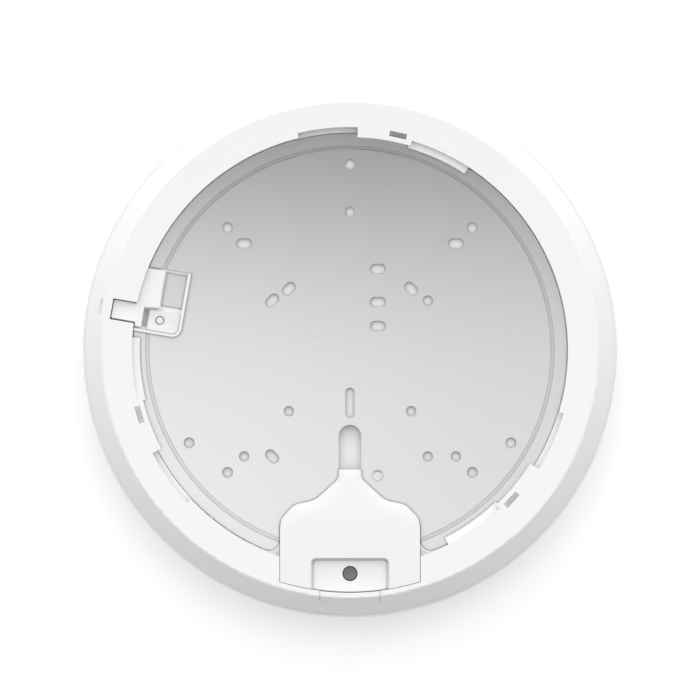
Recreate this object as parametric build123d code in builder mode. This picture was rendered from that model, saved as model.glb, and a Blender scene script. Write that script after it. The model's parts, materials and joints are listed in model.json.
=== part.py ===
"""Ceiling access point, seen and modelled back side up.

Millimetres. +Z points at the ceiling, -Y towards the cable compartment, and the
origin is the centre of the flat ring face that meets the ceiling bracket, so the
whole device hangs below z = 0.
"""
from math import cos, radians, sin, sqrt
import os

from build123d import *

os.makedirs("parts", exist_ok=True)

# ---------------------------------------------------------------- driving sizes
# Rear ring and skirt
OPENING_R = 89.0        # edge of the lip round the recess
FACE_R = 101.6          # outer edge of the flat ring face
SKIRT_R = 108.5         # foot of the sloping skirt
SKIRT_H = 15.0          # height of the skirt
BODY_R = 109.4          # widest radius, at the radome's rim
BODY_H = 40.0           # ring face to the crown of the radome
CROWN_RISE = 4.6        # how far the crown falls short of flat at its edge
WALL = 2.2              # moulded wall
RING_WALL_R = 92.0      # wall under the lip
FLOOR_Z = -9.2          # top of the moulded floor behind the back plate
FLOOR_T = 2.0
# Steel back plate
PLATE_TOP = -5.2
PLATE_T = 1.2
PLATE_GAP = 0.4         # plate edge to the opening
BEAD_R = 82.8
BEAD_W = 1.6
BEAD_D = 0.7
BACKING_R = 81.2        # white film behind the plate that closes its holes
BACKING_T = 0.2
SEAT_W = 4.2            # width of the seat that carries the plate's edge
PLATE_HORN_R = 4.5      # rounded ends of the plate beside the port cover
FACE_EDGE_R = 1.2       # softened outer edge of the ring face
# Bayonet features, three sets; angles are clockwise from +Y
SETS = 3
SET_STEP = 120.2
WINDOW_AT = 12.6
NOTCH_R = 91.0
NOTCH_FROM, NOTCH_TO = -26.2, -10.6      # from the window's centre
NOTCH_FLOOR_Z = -4.9
TAB_R = 86.9
TAB_FROM, TAB_TO = -10.6, 3.9
LEDGE_R = 85.9
LEDGE_FROM, LEDGE_TO = 3.3, 20.4
WINDOW_IN, WINDOW_OUT, WINDOW_W = 88.8, 91.0, 7.0
DETENT_T = 0.3
DETENT_W = 9.0
DETENT_TRAVEL = 0.6
# Port cover
COVER_W = 57.2
COVER_TOP_Y = -48.8
COVER_R = 98.8
NECK_W = 9.0
COVER_SHOULDER_Y = -74.0
COVER_WALL = 1.8
COVER_DROP = 1.6        # how far the cover's neck lies below the ring face
FIT = 0.2               # gap between parts that lift or slide off
SNUG = 0.03             # gap round a part that is fixed for good
POCKET_W = 32.0
POCKET_TOP_Y = -84.9
POCKET_D = 3.0
POCKET_CORNER = 2.3
POCKET_DRAFT = 16        # slope of the pocket's walls in degrees
# Cable compartment
WELL_Z = -22.0
CHANNEL_Z = FLOOR_Z     # the channel shows the moulded floor
CHANNEL_W = 9.2
CHANNEL_TOP_Y = -30.6
CHANNEL_FOOT_Y = COVER_TOP_Y - 10
# Reset
RESET_Y = -91.3
RESET_R = 2.9
RESET_TOP = -4.0
RUN = 0.08              # running clearance of a shaft in its guide
GUIDE_WALL = 1.2
GUIDE_H = 10.0
# Side knock-out
KNOCKOUT_W = 24.8
KNOCKOUT_R = 103.7
KNOCKOUT_GAP = 0.15
KNOCKOUT_IN = COVER_R + FIT + KNOCKOUT_GAP
# Latch, in a frame turned so that +X' is the radial line through it
LATCH_AT = 170.0
LATCH_IN, LATCH_BACK, LATCH_FRONT = 69.2, -19.4, 7.6
LATCH_CORNER = 4.0
LATCH_RIM = 1.2
LATCH_RIM_TOP = -1.9
LATCH_BASE_TOP = -6.0
TRAY_Z = -7.8
PAD_TOP = -4.4
PAD_END_R, PAD_START_T = 83.3, -2.2
LATCH_RIVET_AT = (78.6, 1.6)
LATCH_RIVET_R = 1.2
LATCH_RIVET_HEAD_R, LATCH_RIVET_HEAD_H = 1.35, 0.3
PAD_HOLE_R = 1.9
LEVER_TOP, LEVER_T = -2.6, 2.3
LEVER_TIP_R = 98.4
PIVOT = (84.3, -12.5)
PIVOT_R = 1.2
LEVER_CORNER = 0.5
LEVER_BAR_R, LEVER_HEEL_R = 88.9, 88.4      # outer edges of the lever's bar and heel
ARM_FROM, ARM_TO = -3.6, 3.9                # width of the lever's arm in the notch
FOOT_L, FOOT_DROP = 2.4, 0.9                # foot under the arm's tip
NOTCH_OUT = 98.8
ARM_NOTCH_FROM, ARM_NOTCH_TO, ARM_NOTCH_BOTTOM = -4.0, 4.6, -6.6
SLIT_HALF, SLIT_BOTTOM, SLIT_H = 3.0, -5.2, 2.2
TRAY_EDGE, TRAY_BACK = 0.2, 1.0
TRAY_SHEET_T = 0.3
BLOCK_SLOT_W, BLOCK_SLOT_END = 2.0, 5.2     # dark slot between pad and lever
# Electronics
BOARD_Z = -24.0         # top of the board
BOARD_T = 1.6
BOARD_R = 90.0
JACK_W, JACK_L, JACK_H = 16.4, 17.5, 13.2
JACK_FRONT_Y = -68.7
CARRIER_Z = -29.0
CARRIER_T = 1.6
SINK_Y, SINK_R, SINK_T = 28.0, 50.0, 3.0
PAD_T = 1.0
SHIELD_H = 3.2
CHIP_H = 1.4
GASKET_T = 0.5
SPRING_POCKET_R = 2.6
SWITCH_TOP = -19.0
SWITCH_W = 6.0
SWITCH_PLUNGER_H, SWITCH_PLUNGER_R = 0.8, 1.6
RESET_TRAVEL = 0.5
RESET_LIFT = 0.1        # button above the switch's plunger at rest
LIGHT_R = 2.0
LIGHT_LIP, LIGHT_RECESS = 1.5, 0.05
SOCKET_W, SOCKET_H, SOCKET_L = 11.8, 7.0, 13.0
CARRIER_IN, CARRIER_OUT = 28.0, 68.0
SHEET_T = 0.5

# ---------------------------------------------------------------- derived sizes
FLOOR_BOTTOM = FLOOR_Z - FLOOR_T
SKIRT_SLOPE = SKIRT_H / (SKIRT_R - FACE_R)
KNOCKOUT_Z = (FACE_R - KNOCKOUT_R) * SKIRT_SLOPE
WELL_T = 1.8
PLATE_BOTTOM = PLATE_TOP - PLATE_T
PLATE_R = OPENING_R - PLATE_GAP
SEAT_R = PLATE_R - SEAT_W
LIP_BOTTOM = -WALL
BOARD_BOTTOM = BOARD_Z - BOARD_T
RIM_Z = -SKIRT_H - GASKET_T
SPIGOT_R = 104.6
LUG_SETS = [WINDOW_AT + SET_STEP * i for i in range(SETS)]

# Mounting holes of the back plate: places in mm
HOLE_R = 2.2
SMALL_HOLE_R = 2.1
SLOT_R = 2.1
SQUARE_100 = 50.0       # half of the 100 mm square
SQUARE_50 = 25.0
BOX_X, BOX_Y = 43.25, 43.5
TRIANGLE_R = 75.9
INNER_X, INNER_UP, INNER_DOWN = 31.8, 20.2, -43.5
SLOT_COLUMN_X = 11.4
SLOT_COLUMN_Y = (33.1, 19.6, 9.8)
RIVET_AT = (SLOT_COLUMN_X, -51.2)
RIVET_R = 1.5
TOP_HOLE_Y = 56.5
SLOT_L, DIAGONAL_SLOT_L = 6.6, 6.4
CENTRE_SLOT_Y, CENTRE_SLOT_L, CENTRE_SLOT_W = -21.6, 12.3, 3.7
RIVET_HEAD_R, RIVET_HEAD_H = 2.1, 0.5


def clockwise(angle):
    """Turn an angle measured clockwise from +Y into the usual one."""
    return 90 - angle


def sector(r_in, r_out, start, end):
    """A ring sector between two angles measured clockwise from +Y."""
    low, sweep = clockwise(end), end - start
    a, b = radians(low), radians(low + sweep)
    with BuildSketch() as shape:
        with BuildLine():
            CenterArc((0, 0), r_out, low, sweep)
            CenterArc((0, 0), r_in, low, sweep)
            Line((r_in * cos(a), r_in * sin(a)), (r_out * cos(a), r_out * sin(a)))
            Line((r_in * cos(b), r_in * sin(b)), (r_out * cos(b), r_out * sin(b)))
        make_face()
    return shape.sketch


def bell(grow=0.0):
    """Outline of the port cover, grown or shrunk all round."""
    neck, side = NECK_W / 2, COVER_W / 2
    with BuildSketch() as shape:
        with BuildLine():
            FilletPolyline(
                (neck, COVER_TOP_Y),
                (neck, COVER_TOP_Y - 3.8),
                (0.5 * side, COVER_SHOULDER_Y + 12.4),
                (0.79 * side, COVER_SHOULDER_Y + 10.8),
                (side, COVER_SHOULDER_Y + 4.4),
                (side, -sqrt(COVER_R**2 - side**2)),
                radius=[3.5, 10, 7, 8],
            )
            mirror(about=Plane.YZ)
            Line((-neck, COVER_TOP_Y), (neck, COVER_TOP_Y))
            ThreePointArc((-side, -sqrt(COVER_R**2 - side**2)), (0, -COVER_R),
                          (side, -sqrt(COVER_R**2 - side**2)))
        make_face()
        if grow:
            offset(amount=grow, kind=Kind.INTERSECTION)
    return shape.sketch


def channel(grow=0.0):
    """Outline of the cable channel, from its round end to the compartment."""
    half = CHANNEL_W / 2 + grow
    end = CHANNEL_TOP_Y - CHANNEL_W / 2
    with BuildSketch() as shape:
        with Locations((0, end)):
            Circle(half)
        with Locations((0, (end + CHANNEL_FOOT_Y) / 2)):
            Rectangle(2 * half, end - CHANNEL_FOOT_Y)
    return shape.sketch


def box_between(low, high):
    """Sketch rectangle from its lower left to its upper right corner."""
    width, height = high[0] - low[0], high[1] - low[1]
    with Locations(((low[0] + high[0]) / 2, (low[1] + high[1]) / 2)):
        return Rectangle(width, height)


def latch_plane(z):
    """Plane at height z with +X along the latch's radial line."""
    return Plane.XY.offset(z).rotated((0, 0, LATCH_AT))


def cornered(low, high, radius):
    """Rectangle with its inner front corner rounded, in the latch's own frame."""
    with BuildSketch() as shape:
        box_between(low, high)
        fillet(shape.vertices().sort_by(Axis.Y)[-2:].sort_by(Axis.X)[0], radius)
    return shape.sketch


def latch_outline(grow=0.0):
    """Outline of the latch block, larger by grow (smaller when it is negative)."""
    return cornered((LATCH_IN - grow, LATCH_BACK - max(grow, 0)), (BODY_R, LATCH_FRONT + grow), LATCH_CORNER + grow)


def plate_outline():
    """Outer outline of the back plate, open at the port cover and the latch."""
    with BuildSketch() as shape:
        Circle(PLATE_R)
        add(bell(FIT), mode=Mode.SUBTRACT)
        corners = shape.vertices().filter_by(
            lambda v: v.Y < COVER_SHOULDER_Y and abs(v.X) > COVER_W / 2
        )
        fillet(corners, PLATE_HORN_R)
        add(channel(), mode=Mode.SUBTRACT)
    with BuildSketch(latch_plane(0)) as window:
        add(latch_outline(SNUG))
    with BuildSketch() as whole:
        add(shape.sketch)
        add(window.sketch, mode=Mode.SUBTRACT)
    return whole.sketch


def finish(piece, name):
    """Name a finished piece and write its STEP file."""
    piece.part.label = name
    export_step(piece.part, f"parts/{name}.step")


# ---------------------------------------------------------------- rear housing
POST_RING_R = 78.0
BOARD_POSTS = [(POST_RING_R * cos(radians(a)), POST_RING_R * sin(radians(a)))
               for a in (20, 60, 140, 200, 318)]
POST_R = 3.4
PILOT_R = 1.25
PILOT_L = 8.0

with BuildPart() as rear_housing:
    with BuildSketch(Plane.XZ):
        with BuildLine():
            Polyline(
                (0, FLOOR_Z),
                (SEAT_R, FLOOR_Z),
                (SEAT_R, PLATE_BOTTOM),
                (RING_WALL_R, PLATE_BOTTOM),
                (RING_WALL_R, LIP_BOTTOM),
                (OPENING_R, LIP_BOTTOM),
                (OPENING_R, 0),
                (FACE_R, 0),
                (SKIRT_R, -SKIRT_H),
                (SKIRT_R - WALL, -SKIRT_H),
                (FACE_R - WALL, LIP_BOTTOM),
                (RING_WALL_R + WALL, LIP_BOTTOM),
                (RING_WALL_R + WALL, FLOOR_BOTTOM),
                (0, FLOOR_BOTTOM),
                close=True,
            )
        make_face()
    revolve(axis=Axis.Z)
    # soft outer edge of the ring face
    fillet(rear_housing.edges().filter_by(GeomType.CIRCLE).filter_by(
        lambda e: abs(e.radius - FACE_R) < 0.01), FACE_EDGE_R)
    # bayonet: entry notches, retaining tabs and stop ledges
    for at in LUG_SETS:
        with BuildSketch(Plane.XY.offset(LIP_BOTTOM)):
            add(sector(TAB_R, OPENING_R + 0.5, at + TAB_FROM, at + TAB_TO))
        extrude(amount=WALL)
        with BuildSketch(Plane.XY.offset(PLATE_TOP + FIT)):
            add(sector(LEDGE_R, RING_WALL_R + 0.5, at + LEDGE_FROM, at + LEDGE_TO))
        extrude(amount=-PLATE_TOP - FIT - WALL)
        with BuildSketch(Plane.XY.offset(PLATE_BOTTOM)):
            add(sector(OPENING_R - 0.2, RING_WALL_R + 0.5, at + NOTCH_FROM, at + NOTCH_TO))
        extrude(amount=NOTCH_FLOOR_Z - PLATE_BOTTOM)
        with BuildSketch(Plane.XY.offset(LIP_BOTTOM)):
            add(sector(OPENING_R - 0.5, NOTCH_R, at + NOTCH_FROM, at + NOTCH_TO))
        extrude(amount=WALL, mode=Mode.SUBTRACT)
        with BuildSketch(Plane.XY.offset(LIP_BOTTOM).rotated((0, 0, clockwise(at)))):
            box_between((WINDOW_IN, -WINDOW_W / 2), (WINDOW_OUT, WINDOW_W / 2))
        extrude(amount=WALL, mode=Mode.SUBTRACT)
    # white surround beside the port cover, level with the plate
    with BuildSketch(Plane.XY.offset(FLOOR_BOTTOM)):
        with Locations((0, COVER_SHOULDER_Y - 12)):
            Rectangle(COVER_W + 24, 28)
        with BuildSketch(mode=Mode.PRIVATE) as inside:
            Circle(RING_WALL_R + 0.5)
        add(inside.sketch, mode=Mode.INTERSECT)
        with BuildSketch(mode=Mode.PRIVATE) as clear_of_plate:
            add(plate_outline())
            offset(amount=FIT, kind=Kind.INTERSECTION)
        add(clear_of_plate.sketch, mode=Mode.SUBTRACT)
    extrude(amount=PLATE_TOP - FLOOR_BOTTOM)
    # box that carries the port cover through the ring
    with BuildSketch(Plane.XY.offset(FLOOR_BOTTOM)):
        add(bell(FIT + WALL))
        with Locations((0, COVER_SHOULDER_Y - 20)):
            Rectangle(COVER_W + 20, 40, mode=Mode.INTERSECT)
        Circle(FACE_R - 0.4, mode=Mode.INTERSECT)
        Circle(RING_WALL_R, mode=Mode.SUBTRACT)
    extrude(amount=-FLOOR_BOTTOM - WALL / 2)
    with BuildSketch(Plane.XY.offset(FLOOR_Z)):
        add(bell(FIT))
    extrude(amount=-FLOOR_Z + 1, mode=Mode.SUBTRACT)
    # well of the cable compartment and the cable channel
    with BuildSketch(Plane.XY.offset(FLOOR_Z)):
        add(bell(-COVER_WALL - FIT + WALL))
    extrude(amount=WELL_Z - WELL_T - FLOOR_Z)
    with BuildSketch(Plane.XY.offset(CHANNEL_Z)):
        add(channel())
    extrude(amount=-CHANNEL_Z, mode=Mode.SUBTRACT)
    with BuildSketch(Plane.XY.offset(WELL_Z)):
        add(bell(-COVER_WALL - 2 * FIT))
    extrude(amount=-WELL_Z, mode=Mode.SUBTRACT)
    # guide tube of the reset button, and the openings in the well's bottom
    with BuildSketch(Plane.XY.offset(WELL_Z - WELL_T)):
        with Locations((0, RESET_Y)):
            Circle(RESET_R + RUN + GUIDE_WALL)
    extrude(amount=GUIDE_H)
    with BuildSketch(Plane.XY.offset(WELL_Z - WELL_T)):
        with Locations((0, RESET_Y)):
            Circle(RESET_R + RUN)
    extrude(amount=GUIDE_H, mode=Mode.SUBTRACT)
    with BuildSketch(Plane.XY.offset(WELL_Z - WELL_T)):
        with Locations((0, JACK_FRONT_Y - JACK_L / 2)):
            Rectangle(JACK_W + 2 * FIT, JACK_L + 2 * FIT)
    extrude(amount=WELL_T, mode=Mode.SUBTRACT)
    with BuildSketch(Plane.XY.offset(WELL_Z - WELL_T)):
        with Locations((0, RESET_Y)):
            Rectangle(SWITCH_W + 2 * FIT, SWITCH_W + 2 * FIT)
    extrude(amount=SWITCH_TOP - SWITCH_PLUNGER_H + FIT - WELL_Z + WELL_T, mode=Mode.SUBTRACT)
    # side knock-out opening
    with BuildSketch(Plane.XY.offset(KNOCKOUT_Z - 0.2)):
        box_between((-KNOCKOUT_W / 2, -BODY_R), (KNOCKOUT_W / 2, 2 - COVER_R))
    extrude(amount=BODY_H, mode=Mode.SUBTRACT)
    # box under the latch's notch
    with BuildSketch(latch_plane(ARM_NOTCH_BOTTOM - 1.4)):
        box_between((RING_WALL_R, ARM_NOTCH_FROM - 1.4), (NOTCH_OUT + 1.4, ARM_NOTCH_TO + 1.4))
    extrude(amount=1.4 - ARM_NOTCH_BOTTOM - WALL / 2)
    # latch: notch in the ring, way through the ring wall and release slit in the skirt
    with BuildSketch(latch_plane(FLOOR_Z)):
        add(latch_outline(FIT))
        Circle(OPENING_R, mode=Mode.INTERSECT)
    extrude(amount=-FLOOR_Z, mode=Mode.SUBTRACT)
    with BuildSketch(latch_plane(ARM_NOTCH_BOTTOM)):
        box_between((OPENING_R - 1.5, ARM_NOTCH_FROM), (NOTCH_OUT, ARM_NOTCH_TO))
    extrude(amount=8, mode=Mode.SUBTRACT)
    with BuildSketch(latch_plane(SLIT_BOTTOM)):
        box_between((FACE_R - 3, -SLIT_HALF), (BODY_R, SLIT_HALF))
    extrude(amount=SLIT_H, mode=Mode.SUBTRACT)
    # screw posts for the board, and holes for the two rivets
    with BuildSketch(Plane.XY.offset(FLOOR_BOTTOM)):
        with Locations(*BOARD_POSTS):
            Circle(POST_R)
    extrude(amount=BOARD_Z - FLOOR_BOTTOM)
    with BuildSketch(Plane.XY.offset(BOARD_Z)):
        with Locations(*BOARD_POSTS):
            Circle(PILOT_R)
    extrude(amount=PILOT_L, mode=Mode.SUBTRACT)
    with BuildSketch(Plane.XY.offset(FLOOR_BOTTOM)):
        with Locations(RIVET_AT):
            Circle(RIVET_R)
    extrude(amount=FLOOR_T, mode=Mode.SUBTRACT)
    with BuildSketch(latch_plane(FLOOR_BOTTOM)):
        with Locations(LATCH_RIVET_AT):
            Circle(LATCH_RIVET_R)
    extrude(amount=FLOOR_T, mode=Mode.SUBTRACT)
finish(rear_housing, "rear_housing")

# ---------------------------------------------------------------- back plate
with BuildPart() as back_plate:
    with BuildSketch(Plane.XY.offset(PLATE_BOTTOM)):
        add(plate_outline())
    extrude(amount=PLATE_T)
    with BuildSketch(Plane.XY.offset(PLATE_BOTTOM - BEAD_D)):
        add(plate_outline())
        with BuildSketch(mode=Mode.PRIVATE) as ring:
            Circle(BEAD_R + BEAD_W / 2 + 0.4)
            Circle(BEAD_R - BEAD_W / 2 - 0.4, mode=Mode.SUBTRACT)
        add(ring.sketch, mode=Mode.INTERSECT)
    extrude(amount=BEAD_D)
    with BuildSketch(Plane.XY.offset(PLATE_TOP - BEAD_D)):
        Circle(BEAD_R + BEAD_W / 2)
        Circle(BEAD_R - BEAD_W / 2, mode=Mode.SUBTRACT)
    extrude(amount=BEAD_D, mode=Mode.SUBTRACT)
    with BuildSketch(Plane.XY.offset(PLATE_BOTTOM - 1)):
        with GridLocations(2 * SQUARE_100, 2 * SQUARE_100, 2, 2):
            Circle(HOLE_R)
        with PolarLocations(TRIANGLE_R, 3, start_angle=90):
            Circle(HOLE_R)
        with Locations((-SQUARE_50, -SQUARE_50), (SQUARE_50, -SQUARE_50),
                       (-BOX_X, -BOX_Y), (BOX_X, -BOX_Y),
                       (INNER_X, INNER_UP), (INNER_X, INNER_DOWN), (0, TOP_HOLE_Y)):
            Circle(SMALL_HOLE_R)
        with Locations((-BOX_X, BOX_Y), (BOX_X, BOX_Y)):
            SlotOverall(SLOT_L, 2 * SLOT_R)
        with Locations(*[(SLOT_COLUMN_X, y) for y in SLOT_COLUMN_Y]):
            SlotOverall(SLOT_L, 2 * SLOT_R)
        with Locations(Location((-SQUARE_50, SQUARE_50), 45), Location((SQUARE_50, SQUARE_50), -45),
                       Location((-INNER_X, INNER_UP), 45), Location((-INNER_X, INNER_DOWN), -45)):
            SlotOverall(DIAGONAL_SLOT_L, 2 * SLOT_R)
        with Locations((0, CENTRE_SLOT_Y)):
            SlotOverall(CENTRE_SLOT_L, CENTRE_SLOT_W, rotation=90)
        with Locations(RIVET_AT):
            Circle(RIVET_R)
    extrude(amount=3, mode=Mode.SUBTRACT)
finish(back_plate, "back_plate")

with BuildPart() as plate_backing:
    with BuildSketch(Plane.XY.offset(PLATE_BOTTOM - BACKING_T)):
        add(plate_outline())
        Circle(BACKING_R, mode=Mode.INTERSECT)
        add(bell(FIT + 1), mode=Mode.SUBTRACT)
        with Locations(RIVET_AT):
            Circle(RIVET_R, mode=Mode.SUBTRACT)
    extrude(amount=BACKING_T)
finish(plate_backing, "plate_backing")

with BuildPart() as plate_rivet:
    with BuildSketch(Plane.XY.offset(FLOOR_BOTTOM)):
        with Locations(RIVET_AT):
            Circle(RIVET_R)
    extrude(amount=PLATE_TOP - FLOOR_BOTTOM)
    with BuildSketch(Plane.XY.offset(PLATE_TOP)):
        with Locations(RIVET_AT):
            Circle(RIVET_HEAD_R)
    extrude(amount=RIVET_HEAD_H)
    fillet(plate_rivet.faces().sort_by(Axis.Z)[-1].edges(), 0.3)
finish(plate_rivet, "plate_rivet")

# ---------------------------------------------------------------- port cover
with BuildPart() as port_cover:
    with BuildSketch(Plane.XY.offset(FLOOR_Z + FIT)):
        add(bell())
    extrude(amount=-FLOOR_Z - FIT)
    # crowned towards the neck: a sloping plane lowers the throat
    with BuildSketch(Plane.YZ.offset(-COVER_W)):
        with BuildLine():
            Polyline((COVER_TOP_Y + 1, 1), (COVER_TOP_Y + 1, -COVER_DROP), (COVER_SHOULDER_Y + 13, -1.2),
                     (COVER_SHOULDER_Y, 0), (COVER_SHOULDER_Y, 1), close=True)
        make_face()
    extrude(amount=2 * COVER_W, mode=Mode.SUBTRACT)
    with BuildSketch(Plane.XY.offset(FLOOR_Z + FIT)):
        add(bell(-COVER_WALL))
    extrude(amount=-FLOOR_Z - FIT - COVER_WALL - COVER_DROP, mode=Mode.SUBTRACT)
    # the cable enters through the neck's end
    with BuildSketch(Plane.XY.offset(FLOOR_Z)):
        box_between((COVER_WALL - NECK_W / 2, COVER_TOP_Y - COVER_WALL - 1),
                    (NECK_W / 2 - COVER_WALL, COVER_TOP_Y + 1))
    extrude(amount=-FLOOR_Z - COVER_WALL - COVER_DROP, mode=Mode.SUBTRACT)
    # finger pocket with the reset hole
    with BuildSketch(Plane.XY.offset(-POCKET_D - COVER_WALL)):
        box_between((-POCKET_W / 2 - 1.5, -COVER_R), (POCKET_W / 2 + 1.5, POCKET_TOP_Y + 1.5))
        add(bell(-0.5), mode=Mode.INTERSECT)
    extrude(amount=COVER_WALL)
    with BuildSketch():
        pocket = box_between((-POCKET_W / 2, -COVER_R - 5), (POCKET_W / 2, POCKET_TOP_Y))
        fillet(pocket.vertices().group_by(Axis.Y)[-1], POCKET_CORNER)
    extrude(amount=-POCKET_D, taper=POCKET_DRAFT, mode=Mode.SUBTRACT)
    with BuildSketch(Plane.XY.offset(-12)):
        with Locations((0, RESET_Y)):
            Circle(RESET_R + 0.2)
    extrude(amount=12, mode=Mode.SUBTRACT)
finish(port_cover, "port_cover")

# ---------------------------------------------------------------- side knock-out
with BuildPart() as cable_knockout:
    with BuildSketch(Plane.XZ):
        with BuildLine():
            Polyline((KNOCKOUT_IN, 0), (FACE_R - 0.5, 0), (FACE_R + 0.3, -0.3 * SKIRT_SLOPE),
                     (KNOCKOUT_R, KNOCKOUT_Z), (KNOCKOUT_IN, KNOCKOUT_Z), close=True)
        make_face()
    revolve(axis=Axis.Z)
    with BuildSketch(Plane.XY.offset(-6)):
        with Locations((0, -100)):
            Rectangle(KNOCKOUT_W - 2 * KNOCKOUT_GAP, 30)
    extrude(amount=8, mode=Mode.INTERSECT)
finish(cable_knockout, "cable_knockout")

# ---------------------------------------------------------------- latch
with BuildPart() as latch_block:
    with BuildSketch(latch_plane(FLOOR_Z)):
        add(latch_outline())
        Circle(OPENING_R - FIT, mode=Mode.INTERSECT)
    extrude(amount=LATCH_RIM_TOP - FLOOR_Z)
    # everything inside the raised rim is lower
    with BuildSketch(latch_plane(LATCH_BASE_TOP)):
        add(latch_outline(-LATCH_RIM))
    extrude(amount=-LATCH_BASE_TOP, mode=Mode.SUBTRACT)
    with BuildSketch(latch_plane(TRAY_Z)):
        box_between((LATCH_IN + LATCH_RIM + TRAY_EDGE, LATCH_BACK + TRAY_BACK), (PIVOT[0] - 5.1, PAD_START_T - 2))
    extrude(amount=LATCH_BASE_TOP - TRAY_Z, mode=Mode.SUBTRACT)
    with BuildSketch(latch_plane(FLOOR_Z)) as slot_outline:
        box_between((PAD_END_R + FIT, PAD_START_T + FIT),
                    (PAD_END_R + FIT + BLOCK_SLOT_W, BLOCK_SLOT_END))
        fillet(slot_outline.vertices(), 0.9)
    extrude(amount=LATCH_BASE_TOP - FLOOR_Z, mode=Mode.SUBTRACT)
    # raised ring under the lever, pocket of its spring, hole of its pivot pin
    with BuildSketch(latch_plane(LATCH_BASE_TOP)):
        with Locations(PIVOT):
            Circle(SPRING_POCKET_R + 0.8)
    extrude(amount=LEVER_TOP - LEVER_T - FIT - LATCH_BASE_TOP)
    with BuildSketch(latch_plane(FLOOR_Z + 1)):
        with Locations(PIVOT):
            Circle(SPRING_POCKET_R)
    extrude(amount=-FLOOR_Z, mode=Mode.SUBTRACT)
    with BuildSketch(latch_plane(FLOOR_Z)):
        with Locations(PIVOT):
            Circle(PIVOT_R)
        with Locations(LATCH_RIVET_AT):
            Circle(LATCH_RIVET_R)
    extrude(amount=-FLOOR_Z, mode=Mode.SUBTRACT)
finish(latch_block, "latch_block")

with BuildPart() as latch_tray_sheet:
    with BuildSketch(latch_plane(TRAY_Z)):
        box_between((LATCH_IN + LATCH_RIM + TRAY_EDGE, LATCH_BACK + TRAY_BACK),
                    (PIVOT[0] - 5.1, PAD_START_T - 2))
    extrude(amount=TRAY_SHEET_T)
finish(latch_tray_sheet, "latch_tray_sheet")

with BuildPart() as latch_pad:
    with BuildSketch(latch_plane(LATCH_BASE_TOP)) as pad_outline:
        box_between((LATCH_IN + LATCH_RIM + 0.2, PAD_START_T),
                    (PAD_END_R, LATCH_FRONT - LATCH_RIM - 0.2))
        fillet(pad_outline.vertices(), 0.5)
        add(latch_outline(-LATCH_RIM - 0.2), mode=Mode.INTERSECT)
        with Locations(LATCH_RIVET_AT):
            Circle(PAD_HOLE_R, mode=Mode.SUBTRACT)
    extrude(amount=PAD_TOP - LATCH_BASE_TOP)
finish(latch_pad, "latch_pad")

with BuildPart() as latch_rivet:
    with BuildSketch(latch_plane(FLOOR_BOTTOM)):
        with Locations(LATCH_RIVET_AT):
            Circle(LATCH_RIVET_R)
    extrude(amount=PAD_TOP - FLOOR_BOTTOM)
    with BuildSketch(latch_plane(PAD_TOP)):
        with Locations(LATCH_RIVET_AT):
            Circle(LATCH_RIVET_HEAD_R)
    extrude(amount=LATCH_RIVET_HEAD_H)
    fillet(latch_rivet.faces().sort_by(Axis.Z)[-1].edges(), 0.2)
finish(latch_rivet, "latch_rivet")

with BuildPart() as latch_lever:
    with BuildSketch(latch_plane(LEVER_TOP - LEVER_T)) as lever_outline:
        with BuildLine():
            Polyline(
                (PIVOT[0] - 4.5, LATCH_BACK + 0.8),
                (LEVER_BAR_R, LATCH_BACK + 0.8),
                (LEVER_BAR_R, ARM_FROM),
                (LEVER_TIP_R, ARM_FROM),
                (LEVER_TIP_R, ARM_TO),
                (LEVER_HEEL_R, ARM_TO),
                (LEVER_HEEL_R, LATCH_FRONT - LATCH_RIM - 0.8),
                (PAD_END_R + 2.5, LATCH_FRONT - LATCH_RIM - 0.8),
                (PAD_END_R + 2.5, PAD_START_T - 0.4),
                (PIVOT[0] - 4.7, PAD_START_T - 1.2),
                close=True,
            )
        make_face()
        fillet(lever_outline.vertices(), LEVER_CORNER)
    extrude(amount=LEVER_T)
    # foot that the release pin pushes through the slit
    with BuildSketch(latch_plane(LEVER_TOP - LEVER_T - FOOT_DROP)):
        box_between((LEVER_TIP_R - FOOT_L, ARM_FROM + 0.8), (LEVER_TIP_R, ARM_TO - 0.6))
    extrude(amount=FOOT_DROP)
    with BuildSketch(latch_plane(LEVER_TOP - LEVER_T)):
        with Locations(PIVOT):
            Circle(PIVOT_R + RUN / 2)
    extrude(amount=LEVER_T - 0.7, mode=Mode.SUBTRACT)
finish(latch_lever, "latch_lever")

with BuildPart() as latch_pivot_pin:
    with BuildSketch(latch_plane(FLOOR_Z)):
        with Locations(PIVOT):
            Circle(PIVOT_R)
    extrude(amount=LEVER_TOP - 0.9 - FLOOR_Z)
    chamfer(latch_pivot_pin.faces().sort_by(Axis.Z)[-1].edges(), 0.25)
finish(latch_pivot_pin, "latch_pivot_pin")

SPRING_X = PIVOT[0] * cos(radians(LATCH_AT)) - PIVOT[1] * sin(radians(LATCH_AT))
SPRING_Y = PIVOT[0] * sin(radians(LATCH_AT)) + PIVOT[1] * cos(radians(LATCH_AT))
with BuildPart() as latch_spring:
    with BuildLine() as coil:
        Helix(pitch=0.55, height=1.7, radius=SPRING_POCKET_R - 0.7,
              center=(SPRING_X, SPRING_Y, FLOOR_Z + 1.3))
    with BuildSketch(Plane(origin=coil.line @ 0, z_dir=coil.line % 0)):
        Circle(0.22)
    sweep()
finish(latch_spring, "latch_spring")

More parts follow.
